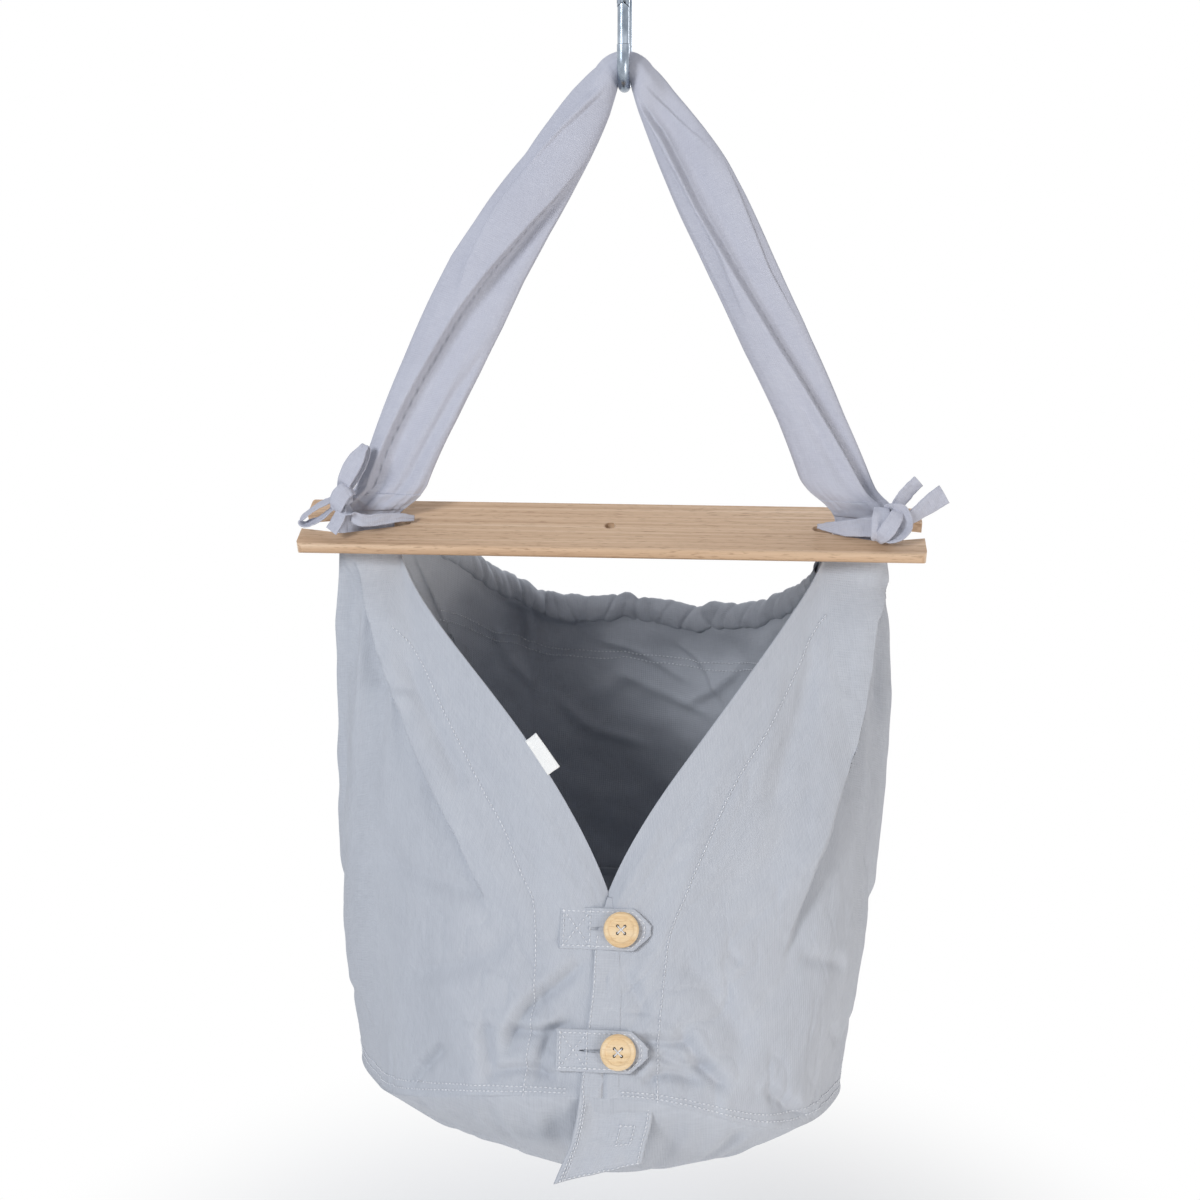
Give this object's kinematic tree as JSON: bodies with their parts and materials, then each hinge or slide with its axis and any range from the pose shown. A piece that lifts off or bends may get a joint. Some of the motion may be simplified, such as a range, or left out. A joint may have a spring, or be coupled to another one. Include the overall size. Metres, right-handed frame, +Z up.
{
  "type": "hanging baby hammock",
  "caption": "Grey cotton cradle bag with a buttoned front, hung by a gathered cloth strap from a steel snap hook and held open by a slotted wooden spreader bar.",
  "frame": {"origin": "inside top of the snap hook's upper bend, the point that hangs on whatever holds the object up", "axes": "+X along the spreader bar to the picture's right, +Y away from the buttoned front, +Z up"},
  "size_m": [0.5548, 0.4735, 1.075],
  "materials": {
    "zinc_steel": "bright zinc plate",
    "spring_steel": "plain",
    "beech": "oiled",
    "grey_canvas": "woven cotton",
    "elastic": "knitted",
    "button_wood": "oiled",
    "thread": "twisted cotton",
    "white_tape": "woven satin"
  },
  "bodies": {
    "hook": {"hook_body": "zinc_steel", "gate_rivet": "zinc_steel", "gate_spring": "spring_steel"},
    "gate": {"hook_gate": "zinc_steel"},
    "sling": {"strap_crown": "grey_canvas", "left_strap": "grey_canvas", "right_strap": "grey_canvas", "left_side_panel": "grey_canvas", "right_side_panel": "grey_canvas", "front_left_panel": "grey_canvas", "front_right_panel": "grey_canvas", "back_panel": "grey_canvas", "bottom_panel": "grey_canvas", "rim_casing": "grey_canvas", "rim_elastic": "elastic", "placket_flap": "grey_canvas", "upper_button_tab": "grey_canvas", "lower_button_tab": "grey_canvas", "upper_button": "button_wood", "lower_button": "button_wood", "upper_button_thread": "thread", "lower_button_thread": "thread", "label_tag": "white_tape", "left_tie_band": "grey_canvas", "left_tie_knot": "grey_canvas", "left_tie_bow": "grey_canvas", "right_tie_band": "grey_canvas", "right_tie_knot": "grey_canvas", "right_tie_tails": "grey_canvas"},
    "bar": {"spreader_bar": "beech"}
  },
  "joints": [
    {"name": "gate_hinge", "type": "hinge", "parent": "hook", "child": "gate", "pos_m": [0, -0.02, -0.02], "axis": [1, 0, 0], "range_deg": [0, 24], "stiffness_Nm_per_rad": 0.35, "springref_deg": -11.46},
    {"name": "sling_swing", "type": "hinge", "parent": "hook", "child": "sling", "pos_m": [0, 0, -0.085], "axis": [0, 1, 0], "range_deg": [-20, 20]},
    {"name": "bar_tip", "type": "hinge", "parent": "sling", "child": "bar", "pos_m": [-0.011, 0, -0.456], "axis": [1, 0, 0], "range_deg": [-6, 6]}
  ]
}
